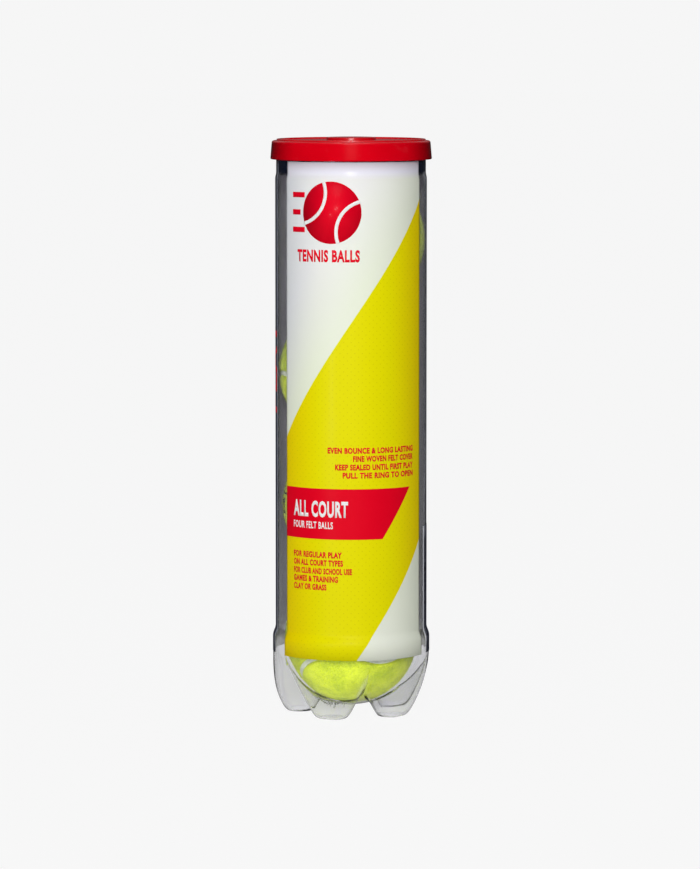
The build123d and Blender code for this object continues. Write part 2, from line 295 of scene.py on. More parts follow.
def buildWorld():
    world = bpy.data.worlds.new("studio")
    bpy.context.scene.world = world
    world.use_nodes = True
    tree = world.node_tree
    tree.nodes.clear()
    across, along, up = partsOf(tree, addNode(tree, "ShaderNodeTexCoord").outputs["Generated"])
    sideways = calc(tree, "ABSOLUTE", across)
    rays = addNode(tree, "ShaderNodeLightPath").outputs
    strength = mapped(tree, sideways, 0.35, 0.85, studio["fill"], studio["sideFill"])
    strength = times(tree, strength, mapped(tree, along, -0.1, 0.4, 1.0, studio["backShare"]))
    overhead = mapped(tree, up, 0.1, 0.4, studio["mirrorShare"], studio["mirrorOverhead"])
    strength = times(tree, strength, mapped(tree, rays["Is Glossy Ray"], 0, 1, 1.0, overhead))
    beyond = mapped(tree, sideways, 0.3, 0.6, studio["through"], studio["sideFill"])
    shade = studio["backdrop"]
    looks = (
        ((0.96, 0.97, 1.0, 1), strength),
        ((0.95, 0.96, 1.0, 1), beyond),
        ((shade, shade, shade, 1), 1.0),
    )
    room, through, seen = (addNode(tree, "ShaderNodeBackground", {"Color": colour, "Strength": level})
                           for colour, level in looks)
    inside = mixShaders(tree, rays["Is Transmission Ray"], room, through)
    choice = mixShaders(tree, rays["Is Camera Ray"], inside, seen)
    out = addNode(tree, "ShaderNodeOutputWorld")
    tree.links.new(choice.outputs[0], out.inputs["Surface"])


def addAreaLight(name, place, target, size, power):
    data = bpy.data.lights.new(name, "AREA")
    data.size = size
    data.energy = power
    light = bpy.data.objects.new(name, data)
    light.location = place
    light.rotation_euler = (Vector(target) - Vector(place)).to_track_quat("-Z", "Y").to_euler()
    bpy.context.scene.collection.objects.link(light)


def buildFloor():
    bm = bmesh.new()
    bmesh.ops.create_grid(bm, x_segments=8, y_segments=8, size=studio["floorSize"])
    floor = finishMesh("floor", bm)
    material, tree, shader = newMaterial("paleFloor")
    shade = studio["backdrop"]
    vector = objectCoords(tree)
    colour = mixed(tree, noiseOf(tree, vector, 40), (0.80, 0.80, 0.80, 1), (0.84, 0.84, 0.84, 1))
    setAll(tree, shader, {"Base Color": colour, "Roughness": 0.9})
    looks = (((shade, shade, shade, 1), studio["floorGlow"]), ((0.9, 0.92, 1.0, 1), studio["floorMirrored"]))
    glow, dark = (addNode(tree, "ShaderNodeEmission", {"Color": colour, "Strength": level})
                  for colour, level in looks)
    rays = addNode(tree, "ShaderNodeLightPath").outputs
    fromMiddle = calc(tree, "ABSOLUTE", partsOf(tree, vector)[0])
    beyond = mapped(tree, fromMiddle, 0.2, 0.6, studio["floorThrough"], studio["sideFill"])
    beyond = times(tree, rays["Is Transmission Ray"], beyond)
    seen = times(tree, larger(tree, rays["Is Camera Ray"], beyond), studio["floorSeen"])
    # reflections see a dark floor, so the clear wall keeps its dark skin
    outside = minus(tree, 1.0, rays["Is Transmission Ray"])
    mirrored = times(tree, rays["Is Glossy Ray"], outside)
    choice = mixShaders(tree, seen, mixShaders(tree, mirrored, shader, dark), glow)
    tree.links.new(choice.outputs[0], tree.nodes["Material Output"].inputs["Surface"])
    floor.data.materials.append(material)


buildWorld()
for setting in lights:
    addAreaLight(*setting)
buildFloor()
print("studio ready")


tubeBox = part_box("tube")
tube = {
    "hipRadius": tubeBox[1].x / mm,
    "top": tubeBox[1].z / mm,
    "bodyRadius": 37.5,
    "neckRadius": 37.0,
    "wall": 0.7,
    "neckWall": 0.8,
    "neckBottom": tubeBox[1].z / mm - 13.8,
    "shoulder": 3.0,
    "flangeRadius": 37.7,
    "flange": 0.5,
    "hipTop": 38.0,
    "hipBlend": 5.5,
    "cupRadius": 38.0,
    "cupCentre": 41.5,
    "heelInset": 8.5,
    "heelTop": 26.0,
    "feet": 5,
    "footTurn": -21.2,       # the nearest foot, counted from the front towards +X
    "footReach": 27.0,
    "footPad": 8.0,
    "footSlope": math.tan(math.radians(28.6)),
    "footSoftness": 3.8,     # how softly a foot melts into the valleys beside it
    "heelSoftness": 4.0,
    "baseRings": 84,
    "steps": 200,
}


# distance from the cup's centre to the turned outline of the base, along a ray
def outlineReach(slant, drop):
    bestReach = tube["cupCentre"] / drop if drop > 0.001 else 1000
    heelCentre = tube["hipRadius"] - tube["heelInset"]
    if slant * bestReach <= heelCentre:
        return bestReach
    # the heel is a quarter ellipse from the floor up to the hip
    a, b = tube["heelInset"], tube["heelTop"]
    x0, z0 = -heelCentre, tube["cupCentre"] - b
    qa = (slant / a) ** 2 + (drop / b) ** 2
    qb = 2 * (x0 * slant / a ** 2 - z0 * drop / b ** 2)
    qc = (x0 / a) ** 2 + (z0 / b) ** 2 - 1
    reach = (-qb + math.sqrt(max(qb * qb - 4 * qa * qc, 0))) / (2 * qa)
    if tube["cupCentre"] - drop * reach > b:
        reach = tube["hipRadius"] / slant
    return reach


# distance from the cup's centre to the cone of the nearest foot, along a ray
def footReachAlong(direction):
    turn = math.atan2(direction.x, -direction.y) - math.radians(tube["footTurn"])
    pitch = math.tau / tube["feet"]
    turn -= pitch * round(turn / pitch)
    slant = math.hypot(direction.x, direction.y)
    x, y, z = slant * math.cos(turn), slant * math.sin(turn), direction.z
    k = tube["footSlope"]
    wide = tube["footPad"] + tube["cupCentre"] * k
    qa = x * x + y * y - (k * z) ** 2
    qb = -2 * (tube["footReach"] * x + wide * k * z)
    qc = tube["footReach"] ** 2 - wide ** 2
    if abs(qa) < 1e-9:
        return -qc / qb
    root = math.sqrt(max(qb * qb - 4 * qa * qc, 0))
    ways = [(-qb + root) / (2 * qa), (-qb - root) / (2 * qa)]
    ahead = [w for w in ways if w > 0 and wide + k * z * w > 0]
    return min(ahead) if ahead else 1000


def softMin(a, b, softness):
    h = min(max(0.5 + 0.5 * (b - a) / softness, 0), 1)
    return b * (1 - h) + a * h - softness * h * (1 - h)


def baseReach(direction):
    slant = math.hypot(direction.x, direction.y)
    outline = outlineReach(slant, -direction.z)
    foot = softMin(outline, footReachAlong(direction), tube["heelSoftness"])
    blended = -softMin(-tube["cupRadius"], -foot, tube["footSoftness"])
    return min(blended, tube["hipRadius"] / max(slant, 0.001))   # never wider than the hip


def buildTube():
    # the base starts as two nested bowls just outside the cup, which are then pushed out to the feet
    centre = tube["cupCentre"]
    last = math.atan2(tube["hipRadius"], centre - tube["hipTop"])
    outerBowl, innerBowl = tube["cupRadius"] + 2, tube["cupRadius"] + 1
    rings = [last * i / tube["baseRings"] for i in range(tube["baseRings"])]

    def bowl(radius):
        return [Vector((radius * math.sin(a), centre - radius * math.cos(a))) for a in rings]

    def wall(inset, neckInset):
        points = []
        for i in range(9):
            share = i / 8
            r = tube["hipRadius"] + (tube["bodyRadius"] - tube["hipRadius"]) * smoothStep(0, 1, share)
            points.append(Vector((r - inset, tube["hipTop"] + tube["hipBlend"] * share)))
        bodyTop = tube["neckBottom"] - tube["shoulder"]
        for i in range(1, 13):
            z = points[8].y + (bodyTop - points[8].y) * i / 13
            points.append(Vector((tube["bodyRadius"] - inset, z)))
        for i in range(7):
            share = smoothStep(0, 1, i / 6)
            r = (tube["bodyRadius"] - inset) * (1 - share) + (tube["neckRadius"] - neckInset) * share
            points.append(Vector((r, bodyTop + tube["shoulder"] * i / 6)))
        return points

    top, neck = tube["top"], tube["neckRadius"]
    flange = [Vector(p) for p in (
        (neck, top - tube["flange"]),
        (tube["flangeRadius"], top - tube["flange"]),
        (tube["flangeRadius"], top),
        (neck - tube["neckWall"], top),
    )]
    outline = bowl(outerBowl) + wall(0, 0) + flange
    outline += wall(tube["wall"], tube["neckWall"])[::-1] + bowl(innerBowl)[::-1]
    bm = spinOutline(outline, tube["steps"], closed=False)
    cup = Vector((0, 0, centre))
    for vert in bm.verts:
        arm = vert.co / mm - cup
        isOuter = abs(arm.length - outerBowl) < 0.05 and vert.co.z / mm < tube["hipTop"]
        isInner = abs(arm.length - innerBowl) < 0.05 and vert.co.z / mm < tube["hipTop"]
        if isOuter or isInner:
            direction = arm.normalized()
            reach = baseReach(direction) - (tube["wall"] if isInner else 0)
            vert.co = (cup + direction * reach) * mm
    return finishMesh("tubeShell", bm)


def buildClearPlastic():
    material, tree, shader = newMaterial("clearPlastic")
    vector = objectCoords(tree)
    scratches, smudges = handlingWear(tree, vector, 500.0, 25.0)
    # painted shade: the straight wall is tinted a little darker than the base so that what lies inside reads
    # shaded, its skin seen edge-on is painted dark, and the thick neck is painted darkest as the shadow under
    # the lid
    height = partsOf(tree, vector)[2]
    facing = facingOf(tree)
    wall = mapped(tree, height, 0.034, 0.05)
    paintedEdgeShade = times(tree, mapped(tree, facing, 0.66, 0.9), wall)
    neckBottom = tube["neckBottom"] * mm
    neck = mapped(tree, height, neckBottom - 1 * mm, neckBottom + 1 * mm)
    tintAndPaintedShade = mixed(tree, smudges, (0.985, 0.985, 0.995, 1), (0.965, 0.965, 0.985, 1))
    tintAndPaintedShade = mixed(tree, wall, tintAndPaintedShade, (0.95, 0.95, 0.975, 1))
    tintAndPaintedShade = mixed(tree, larger(tree, paintedEdgeShade, neck), tintAndPaintedShade, (0.26, 0.28, 0.38, 1))
    # blown walls ripple a little round the body and along it
    ripple = noiseOf(tree, objectCoords(tree, (1, 1, 0.25)), 60, 1.0)
    setAll(tree, shader, {
        "Base Color": tintAndPaintedShade,
        "Roughness": mapped(tree, larger(tree, scratches, smudges), 0, 1, 0.015, 0.07),
        "Transmission Weight": 1.0,
        "IOR": 1.5,
        "Specular IOR Level": 0.6,
        "Normal": bumpOf(tree, ripple, 0.25, 0.8 * mm),
    })
    # painted shade: a near-black navy surface stands in for the dark edges of the clear wall and the shadow
    # at the neck
    edge = addNode(tree, "ShaderNodeBsdfDiffuse", {"Color": (0.012, 0.016, 0.035, 1)})
    rim = times(tree, mapped(tree, facing, 0.76, 0.92), times(tree, wall, 0.85))
    paintedDarkShare = larger(tree, rim, times(tree, neck, 0.55))
    # painted shade: shadow rays pass the straight wall darker, so the balls and the film backs inside read
    # shaded
    shadowTint = mixed(tree, wall, (0.97, 0.97, 0.98, 1), (0.88, 0.88, 0.90, 1))
    clear = addNode(tree, "ShaderNodeBsdfTransparent", {"Color": shadowTint})
    rays = addNode(tree, "ShaderNodeLightPath").outputs
    choice = mixShaders(tree, rays["Is Shadow Ray"], mixShaders(tree, paintedDarkShare, shader, edge), clear)
    tree.links.new(choice.outputs[0], tree.nodes["Material Output"].inputs["Surface"])
    return material


tubeShell = buildTube()
tubeShell.data.materials.append(buildClearPlastic())
ridesOn(tubeShell, "can", "clear_pet", "tube")
print("tube ready")


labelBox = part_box("front_label")
label = {
    "thickness": 0.1,
    "lift": 0.12,            # outer face above the tube wall
    "bottom": labelBox[0].z / mm,
    "top": labelBox[1].z / mm + 1.5,   # tucked a little further up under the lid
    "frontFrom": -57.4,
    "frontTo": 63.3,
    "rearFrom": 96.0,
    "rearTo": 285.0,
    "patchFrom": 71.6,
    "patchTop": 94.0,
    "stepAngle": 1.5,
    "white": (0.80, 0.80, 0.78, 1),
    "whiteCool": (0.70, 0.72, 0.76, 1),
    "whiteGreen": (0.78, 0.83, 0.66, 1),
    "paintedLidShadow": (0.84, 0.84, 0.93, 1),
    "yellow": (0.76, 0.70, 0.0, 1),
    "yellowShadedSide": (0.84, 0.63, 0.0, 1),
    "dot": (0.62, 0.54, 0.0, 1),
    "red": (0.74, 0.0, 0.014, 1),
    "ink": (0.02, 0.022, 0.04, 1),
    "paintedEdgeShade": (0.05, 0.055, 0.085, 1),
    "slope": 1.486,          # rise of the slanted colour edges, height over width
    "edgeHeight": 196.6,     # where the upper slanted edge crosses the front line
    "lowerEdgeHeight": 26.9,
    "bandBottom": 90.3,
    "bandTop": 115.2,
    "bandEnd": 15.9,         # right end of the red band at its bottom
    "dotPitch": (3.65, 3.6),
    "dotRadius": 0.26,
    "dotStrength": 0.75,
    "rearSlant": 125.0,      # where the slanted split starts again, round the back
    "rearMargins": ((30.0, 74.0), (176.0, 190.0)),
    "cutEdge": (186.4, 186.9),
    "barBlock": ((48.6, 54.4), (38.0, 88.0)),   # across, and up
}
label["radius"] = tube["bodyRadius"] + label["lift"]


def labelRadius(z):
    hip = smoothStep(tube["hipTop"], tube["hipTop"] + tube["hipBlend"], z)
    neck = smoothStep(tube["neckBottom"] - tube["shoulder"], tube["neckBottom"], z)
    r = tube["hipRadius"] + (tube["bodyRadius"] - tube["hipRadius"]) * hip
    return r + (tube["neckRadius"] - tube["bodyRadius"]) * neck + label["lift"]


def filmSheet(bm, fromAngle, toAngle, zFrom, zTo):
    blendFrom, blendTo = tube["hipTop"], tube["hipTop"] + tube["hipBlend"]
    neckFrom, neckTo = tube["neckBottom"] - tube["shoulder"], tube["neckBottom"]
    heights = [zFrom, zTo] + [blendFrom + (blendTo - blendFrom) * i / 8 for i in range(9)]
    heights += [neckFrom + (neckTo - neckFrom) * i / 6 for i in range(7)]
    heights += [blendTo + (neckFrom - blendTo) * i / 20 for i in range(1, 20)]
    heights = sorted(z for z in set(heights) if zFrom <= z <= zTo)
    turn = Matrix.Rotation(math.radians(fromAngle), 4, "Z")
    edge = [bm.verts.new(turn @ Vector((0, -labelRadius(z) * mm, z * mm))) for z in heights]
    line = [bm.edges.new(pair) for pair in zip(edge, edge[1:])]
    steps = round((toAngle - fromAngle) / label["stepAngle"])
    spun(bm, edge + line, (0, 0, 0), (0, 0, 1), math.radians(toAngle - fromAngle), steps)


# the film's own map: millimetres round the tube from the front line, and height, both over 1000
def mapFilm(bm, middleAngle):
    film = bm.loops.layers.uv.new("film")
    for face in bm.faces:
        for loop in face.loops:
            x, y, z = loop.vert.co
            turn = math.atan2(x, -y) - math.radians(middleAngle)
            turn = math.remainder(turn, math.tau) + math.radians(middleAngle)
            loop[film].uv = (turn * label["radius"] * mm, z)


def filmPiece(name, sheets, middleAngle, materials):
    bm = bmesh.new()
    for sheetSize in sheets:
        filmSheet(bm, *sheetSize)
    bmesh.ops.remove_doubles(bm, verts=bm.verts, dist=0.002 * mm)
    mapFilm(bm, middleAngle)
    for face in bm.faces:
        outward = Vector((face.calc_center_median().x, face.calc_center_median().y, 0))
        if face.normal.dot(outward) < 0:
            face.normal_flip()
    piece = finishMesh(name, bm, recalc=False)
    for material in materials:
        piece.data.materials.append(material)
    thicken(piece, "filmThickness", label["thickness"], -1).material_offset = 1
    return piece


def filmCoords(tree):
    coords = addNode(tree, "ShaderNodeUVMap", uv_map="film").outputs[0]
    scaled = addNode(tree, "ShaderNodeMapping", {"Vector": coords, "Scale": (1000, 1000, 1000)}).outputs[0]
    return partsOf(tree, scaled)[:2]


# 1 above the slanted line that crosses the front line at this height
def aboveSlant(tree, across, height, crossing, bow=0.0):
    line = plus(tree, times(tree, across, label["slope"]), crossing)
    bend = times(tree, calc(tree, "POWER", calc(tree, "DIVIDE", across, 38.4), 2.0), -bow)
    over = minus(tree, height, plus(tree, line, bend))
    return mapped(tree, over, -0.08, 0.08)


def between(tree, value, low, high, soft=0.08):
    return times(tree, mapped(tree, value, low - soft, low + soft),
                mapped(tree, value, high + soft, high - soft))


# staggered small dots, one mask value
def dotMask(tree, across, height):
    found = None
    for shift in (50.0, 50.5):
        squares = []
        for place, pitch in zip((across, height), label["dotPitch"]):
            cell = calc(tree, "FRACT", plus(tree, calc(tree, "DIVIDE", place, pitch), shift))
            off = times(tree, minus(tree, cell, 0.5), pitch)
            squares.append(calc(tree, "POWER", off, 2.0))
        far = calc(tree, "SQRT", plus(tree, *squares))
        dot = mapped(tree, far, label["dotRadius"] + 0.06, label["dotRadius"] - 0.06)
        found = dot if found is None else larger(tree, found, dot)
    return times(tree, found, label["dotStrength"])


# the even, nearly matt gloss shared by the films and the inks
def filmGloss(tree, colour, smudges, low, high, height, strength, distance):
    return {
        "Base Color": colour,
        "Roughness": mapped(tree, smudges, 0, 1, low, high),
        "Specular IOR Level": 0.05,
        "Coat Weight": 0.04,
        "Coat Roughness": 0.12,
        "Normal": bumpOf(tree, height, strength, distance),
    }


def finishFilm(tree, shader, colour):
    scratches, smudges = handlingWear(tree, objectCoords(tree), 350.0, 35.0)
    # the film follows slow ripples in the tube wall
    ripple = noiseOf(tree, objectCoords(tree, (1, 1, 0.3)), 55, 1.0)
    height = plus(tree, ripple, times(tree, scratches, -0.02))
    setAll(tree, shader, filmGloss(tree, colour, smudges, 0.34, 0.44, height, 0.12, 0.5 * mm))


def buildFrontFilm():
    material, tree, shader = newMaterial("frontFilm")
    across, height = filmCoords(tree)
    # painted shade: the white turns a cooler, darker grey towards the left edge, where the tube turns away
    # from the light
    white = mixed(tree, mapped(tree, across, -34, -16), label["whiteCool"], label["white"])
    slantDistance = minus(tree, height, times(tree, across, label["slope"]))
    white = mixed(tree, mapped(tree, slantDistance, 255, 205), white, label["whiteGreen"])
    patchy = noiseOf(tree, objectCoords(tree, (1, 1, 0.5)), 18, 1.0)
    white = mixed(tree, mapped(tree, patchy, 0.35, 0.75, 0.0, 0.5), white, label["white"])
    # painted shadow: the film on the neck is tinted grey-lavender as the shade under the lid's overhang; the
    # same mask raises the coat on the shoulder
    neck = mapped(tree, height, tube["neckBottom"] - 2.5, tube["neckBottom"] + 1)
    white = mixed(tree, neck, white, label["paintedLidShadow"])
    # painted shade: the yellow turns a little darker and more orange towards both sides, where the tube turns
    # away from the light
    paintedSideShade = mapped(tree, calc(tree, "ABSOLUTE", minus(tree, across, 2.0)), 18, 40)
    yellow = mixed(tree, paintedSideShade, label["yellow"], label["yellowShadedSide"])
    yellow = mixed(tree, dotMask(tree, across, height), yellow, label["dot"])
    upper = aboveSlant(tree, across, height, label["edgeHeight"], 1.5)
    lower = minus(tree, 1.0, aboveSlant(tree, across, height, label["lowerEdgeHeight"]))
    colour = mixed(tree, larger(tree, upper, lower), yellow, white)
    rows = between(tree, height, label["bandBottom"], label["bandTop"])
    crossing = label["bandBottom"] - label["bandEnd"] * label["slope"]
    band = times(tree, rows, aboveSlant(tree, across, height, crossing))
    colour = mixed(tree, band, colour, label["red"])
    finishFilm(tree, shader, colour)
    setInput(tree, shader, "Coat Weight", mapped(tree, neck, 0, 1, 0.005, 0.3))
    return material


def buildRearFilm():
    material, tree, shader = newMaterial("rearFilm")
    across, height = filmCoords(tree)
    yellow = mixed(tree, dotMask(tree, across, height), label["yellow"], label["dot"])
    behind = minus(tree, across, label["rearSlant"])
    upper = aboveSlant(tree, behind, height, label["edgeHeight"] - 20)
    colour = mixed(tree, upper, yellow, label["white"])
    colour = mixed(tree, between(tree, height, label["bandBottom"], label["bandTop"]), colour, label["red"])
    margins = larger(tree, *(between(tree, across, *ends) for ends in label["rearMargins"]))
    # painted shade: the unprinted margin is painted dark where it is seen along its skin and at its cut end
    dark = larger(tree, mapped(tree, facingOf(tree), 0.55, 0.8), mapped(tree, across, *label["cutEdge"]))
    marginAndPaintedShade = mixed(tree, dark, label["whiteCool"], label["paintedEdgeShade"])
    colour = mixed(tree, margins, colour, marginAndPaintedShade)
    # a block of plain bars low on the right edge
    bars = noiseOf(tree, addNode(tree, "ShaderNodeCombineXYZ", {0: 3.7, 1: height}).outputs[0], 1.1, 0.0)
    blockWidth, blockHeight = label["barBlock"]
    block = times(tree, between(tree, across, *blockWidth), between(tree, height, *blockHeight))
    bars = times(tree, calc(tree, "GREATER_THAN", bars, 0.5), block)
    colour = mixed(tree, bars, colour, label["ink"])
    finishFilm(tree, shader, colour)
    return material


def buildFilmBack():
    material, tree, shader = newMaterial("filmBack")
    vector = objectCoords(tree)
    fibres = noiseOf(tree, vector, 900, 4.0, 0.7)
    clouds = noiseOf(tree, vector, 25, 2.0)
    setAll(tree, shader, {
        "Base Color": mixed(tree, clouds, (0.84, 0.82, 0.86, 1), (0.92, 0.88, 0.92, 1)),
        "Roughness": mapped(tree, fibres, 0, 1, 0.45, 0.65),
        "Normal": bumpOf(tree, fibres, 0.2, 0.05 * mm),
    })
    return material


filmBack = buildFilmBack()
frontSheets = [(label["frontFrom"], label["frontTo"], label["bottom"], label["top"])]
frontFilm = filmPiece("frontLabelFilm", frontSheets, 0, [buildFrontFilm(), filmBack])
ridesOn(frontFilm, "can", "front_film", "front_label")
rearSheets = [
    (label["rearFrom"], label["rearTo"], label["bottom"], label["top"]),
    (label["patchFrom"], label["rearFrom"], label["bottom"], label["patchTop"]),
]
rearFilm = filmPiece("rearLabelFilm", rearSheets, 180, [buildRearFilm(), filmBack])
ridesOn(rearFilm, "can", "rear_film", "rear_label")
print("labels ready")


def buildInk(name, colour, wornColour):
    material, tree, shader = newMaterial(name)
    scratches, smudges = handlingWear(tree, objectCoords(tree), 350.0, 35.0)
    printed = mixed(tree, mapped(tree, smudges, 0, 1, 0, 0.5), colour, wornColour)
    setAll(tree, shader, filmGloss(tree, printed, smudges, 0.32, 0.42, scratches, 0.1, 0.02 * mm))
    return material


inks = {
    "red": buildInk("redInk", label["red"], (0.80, 0.004, 0.02, 1)),
    "white": buildInk("whiteInk", (0.84, 0.84, 0.83, 1), (0.78, 0.78, 0.78, 1)),
    "dark": buildInk("darkInk", label["ink"], (0.04, 0.042, 0.06, 1)),
}
inkLift = {"red": 0.012, "white": 0.026, "dark": 0.012}
inkThickness = 0.01


# a flat print: x is millimetres round the tube, y is height; cut into strips so that it bends evenly
def wrapPrint(name, bm, ink, slotName="front_film"):
    bmesh.ops.remove_doubles(bm, verts=bm.verts, dist=0.0005)
    low = math.floor(min(v.co.x for v in bm.verts))
    high = math.ceil(max(v.co.x for v in bm.verts))
    for x in range(low + 1, high):
        bmesh.ops.bisect_plane(bm, geom=bm.verts[:] + bm.edges[:] + bm.faces[:], dist=0.0001,
                               plane_co=(x, 0, 0), plane_no=(1, 0, 0))
    for face in bm.faces:
        if face.normal.z < 0:
            face.normal_flip()
    radius = label["radius"] + inkLift[ink]
    for vert in bm.verts:
        turn = vert.co.x / label["radius"]
        vert.co = Vector((radius * math.sin(turn), -radius * math.cos(turn), vert.co.y)) * mm
    piece = finishMesh(name, bm, recalc=False)
    piece.data.materials.append(inks[ink])
    thicken(piece, "inkThickness", inkThickness, 1)
    ridesOn(piece, "can", slotName)
    return piece


def printWords(name, words, left, right, bottom, height, ink, weight, slotName, turned=False):
    curve = bpy.data.curves.new(name, "FONT")
    curve.body = words
    curve.offset = weight
    curve.space_character = 1.1
    curve.resolution_u = 3
    text = bpy.data.objects.new(name + "Text", curve)
    bpy.context.scene.collection.objects.link(text)
    bm = evaluatedMesh(text)
    bpy.data.objects.remove(text)
    if turned:
        bmesh.ops.rotate(bm, verts=bm.verts, cent=(0, 0, 0), matrix=Matrix.Rotation(math.pi / 2, 3, "Z"))
    xs = [v.co.x for v in bm.verts]
    ys = [v.co.y for v in bm.verts]
    wide, high = max(xs) - min(xs), max(ys) - min(ys)
    bmesh.ops.translate(bm, verts=bm.verts, vec=(-min(xs), -min(ys), 0))
    bmesh.ops.scale(bm, verts=bm.verts, vec=((right - left) / wide, height / high, 1))
    bmesh.ops.translate(bm, verts=bm.verts, vec=(left, bottom, 0))
    return wrapPrint(name, bm, ink, slotName)


emblem = {
    "centre": (-10.1, 250.4),
    "radius": 15.2,
    "seamRadius": 15.5,
    "seamWidth": 1.7,
    "seamOffset": 20.6,
    "lean": -28,
    "barLeft": -32.2,
    "bars": ((257.6, 2.6), (249.1, 2.6), (240.6, 2.6)),   # height of each speed line, and its thickness
}


def buildEmblem():
    cx, cy = emblem["centre"]
    disc = bmesh.new()
    bmesh.ops.create_circle(disc, cap_ends=True, radius=emblem["radius"], segments=96,
                            matrix=Matrix.Translation((cx, cy, 0)))
    for height, thickness in emblem["bars"]:
        half = math.sqrt(max(emblem["radius"] ** 2 - (height + thickness / 2 - cy) ** 2, 0))
        right = cx - half - 1.6
        place = Matrix.Translation(((emblem["barLeft"] + right) / 2, height + thickness / 2, 0))
        size = Matrix.Diagonal(((right - emblem["barLeft"]) / 2, thickness / 2, 1, 1))
        bmesh.ops.create_grid(disc, x_segments=1, y_segments=1, size=1, matrix=place @ size)
    wrapPrint("emblemBall", disc, "red")
    seams = bmesh.new()
    inner = emblem["seamRadius"] - emblem["seamWidth"] / 2
    outer = emblem["seamRadius"] + emblem["seamWidth"] / 2
    # where the seam line leaves the disc
    apart, big, small = emblem["seamOffset"], emblem["radius"], emblem["seamRadius"]
    spread = math.acos((apart ** 2 + small ** 2 - big ** 2) / (2 * apart * small)) * 1.03
    for side in (-1, 1):
        centre = Vector((cx + side * apart, cy, 0))
        middleTurn = math.pi if side > 0 else 0
        start = Matrix.Rotation(middleTurn - spread, 3, "Z")
        ends = [seams.verts.new(centre + start @ Vector((r, 0, 0))) for r in (inner, outer)]
        line = seams.edges.new(ends)
        spun(seams, ends + [line], centre, (0, 0, 1), 2 * spread, 32)
    lean = Matrix.Rotation(math.radians(emblem["lean"]), 3, "Z")
    bmesh.ops.rotate(seams, verts=seams.verts, cent=(cx, cy, 0), matrix=lean)
    wrapPrint("emblemSeams", seams, "white")


buildEmblem()
frontWords = [
    ("title", "TENNIS BALLS", -29.0, 4.3, 226.2, 6.1, "red", 0.045),
    ("bandTitle", "ALL COURT", -31.8, -1.5, 101.0, 8.2, "white", 0.04),
    ("bandNote", "FOUR FELT BALLS", -31.8, -9.0, 95.4, 3.5, "white", 0.028),
]
rightNotes = (              # words, left edge and height; all end on one line
    ("EVEN BOUNCE & LONG LASTING", -11.7, 132.6),
    ("FINE WOVEN FELT COVER", 0.9, 128.6),
    ("KEEP SEALED UNTIL FIRST PLAY", -7.9, 124.4),
    ("PULL THE RING TO OPEN", -4.2, 120.4),
)
leftNotes = (               # words, right edge and height; all start on one line
    ("FOR REGULAR PLAY", -4.5, 81.0),
    ("ON ALL COURT TYPES", -4.0, 77.0),
    ("FOR CLUB AND SCHOOL USE", 0.4, 72.9),
    ("GAMES & TRAINING", -6.5, 69.0),
    ("CLAY OR GRASS", -12.3, 65.0),
)
frontWords += [("note" + letter, words, left, 35.1, bottom, 3.0, "red", 0.05)
               for letter, (words, left, bottom) in zip("ABCD", rightNotes)]
frontWords += [("note" + letter, words, -31.8, right, bottom, 3.1, "red", 0.05)
               for letter, (words, right, bottom) in zip("EFGHI", leftNotes)]
half = math.pi * label["radius"]
rearWords = [
    ("rearTitle", "TENNIS BALLS", half - 30, half + 28, 222.0, 9.0, "red", 0.03),
    ("rearBand", "FOUR BALLS", half - 26, half + 24, 98.0, 9.5, "white", 0.03),
    ("rearNoteA", "STORE AT ROOM TEMPERATURE", half - 27, half + 25, 75.0, 3.2, "red", 0.03),
    ("rearNoteB", "KEEP THE LID ON BETWEEN GAMES", half - 27, half + 25, 70.0, 3.2, "red", 0.03),
    ("rearNoteC", "RECYCLE THE EMPTY TUBE", half - 27, half + 15, 65.0, 3.2, "red", 0.03),
]
for slotName, rows in (("front_film", frontWords), ("rear_film", rearWords)):
    for row in rows:
        printWords(*row, slotName)
sideLeft = math.radians(label["rearTo"] - 360) * label["radius"]
printWords("sideTitle", "PLAY", sideLeft - 14.5, sideLeft - 1.5, 150.0, 46.0, "red", 0.03, "rear_film", True)
print("printing ready")


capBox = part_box("overcap")
cap = {
    "outer": capBox[1].x / mm,
    "bottom": capBox[0].z / mm,
    "top": capBox[1].z / mm - 1.6,
    "plate": 1.0,
    "flare": 0.7,
    "inner": 38.35,
    "bossRadius": 12.2,
    "bossHeight": 1.6,
    "ringOuter": 36.85,
    "ringWidth": 1.6,
    "ringHeight": 0.8,
    "beadReach": 0.22,
    "beadHeight": 0.8,
    "bead": 279.46,
    "centreDimple": 1.1,
}


def buildOvercap():
    under, top, boss = cap["top"] - cap["plate"], cap["top"], cap["top"] + cap["bossHeight"]
    ring = cap["ringOuter"]
    beadHalf = cap["beadHeight"] / 2
    corners = [
        (0, under + cap["bossHeight"], 0),
        (0, boss - 0.45, 0),
        (cap["centreDimple"], boss - 0.45, 0.2),
        (cap["centreDimple"] + 0.5, boss, 0.25),
        (cap["bossRadius"], boss, 0.45),
        (cap["bossRadius"] + 0.12, top, 0.3),
        (ring - cap["ringWidth"], top, 0.25),
        (ring - cap["ringWidth"] + 0.1, top + cap["ringHeight"], 0.3),
        (ring, top + cap["ringHeight"], 0.3),
        (ring + 0.1, top, 0.15),
        (cap["outer"] - cap["flare"], top, 1.1),
        (cap["outer"], cap["bottom"] + 0.6, 0.3),
        (cap["outer"] - 0.1, cap["bottom"], 0.25),
        (cap["inner"], cap["bottom"], 0.3),
        (cap["inner"], cap["bead"] - beadHalf, 0),
        (cap["inner"] - cap["beadReach"], cap["bead"], 0.2),
        (cap["inner"], cap["bead"] + beadHalf, 0),
        (cap["inner"], under, 0.3),
        (cap["bossRadius"] - cap["plate"], under, 0.25),
        (cap["bossRadius"] - cap["plate"], under + cap["bossHeight"], 0.3),
    ]
    return finishMesh("overcapShell", spinOutline(roundedOutline(corners), 216, closed=False), 30)


